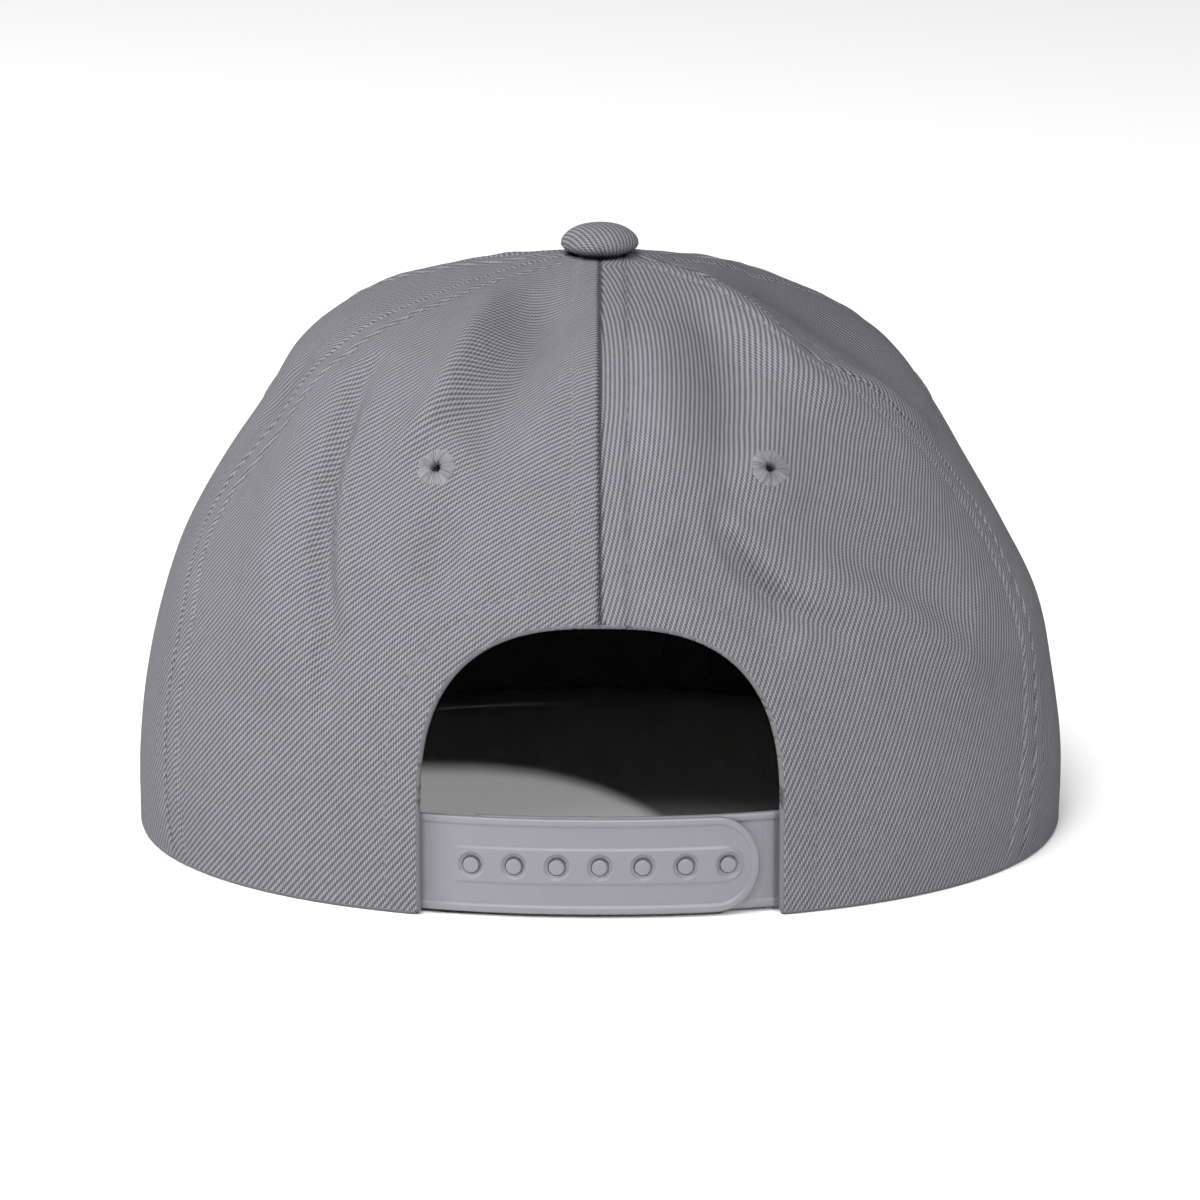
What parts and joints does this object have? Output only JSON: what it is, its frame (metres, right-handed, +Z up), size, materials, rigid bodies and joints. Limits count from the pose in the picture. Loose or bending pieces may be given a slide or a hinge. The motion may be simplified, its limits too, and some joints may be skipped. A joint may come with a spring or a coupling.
{
  "type": "snapback cap",
  "caption": "Domed cloth cap with a flat visor, stitched eyelets, a covered top button and a pegged plastic strap across an arched back opening.",
  "frame": {"origin": "middle of the bottom of the whole cap's box, on the surface it rests on", "axes": "+Z up, -Y the way the visor points, +Y the back opening, +X the wearer's left"},
  "size_m": [0.1958, 0.229, 0.1251],
  "materials": {
    "cloth": "matte",
    "thread": "matte",
    "lining": "matte",
    "strap": "satin"
  },
  "bodies": {
    "root": {"panel_back_left": "cloth", "panel_back_right": "cloth", "panel_side_left": "cloth", "panel_side_right": "cloth", "panel_front_left": "cloth", "panel_front_right": "cloth", "eyelet_back_left": "thread", "eyelet_back_right": "thread", "eyelet_side_left": "thread", "eyelet_side_right": "thread", "eyelet_front_left": "thread", "eyelet_front_right": "thread", "button": "cloth", "visor": "cloth", "sweatband": "lining", "strap_left": "strap", "strap_right": "strap"}
  },
  "joints": []
}
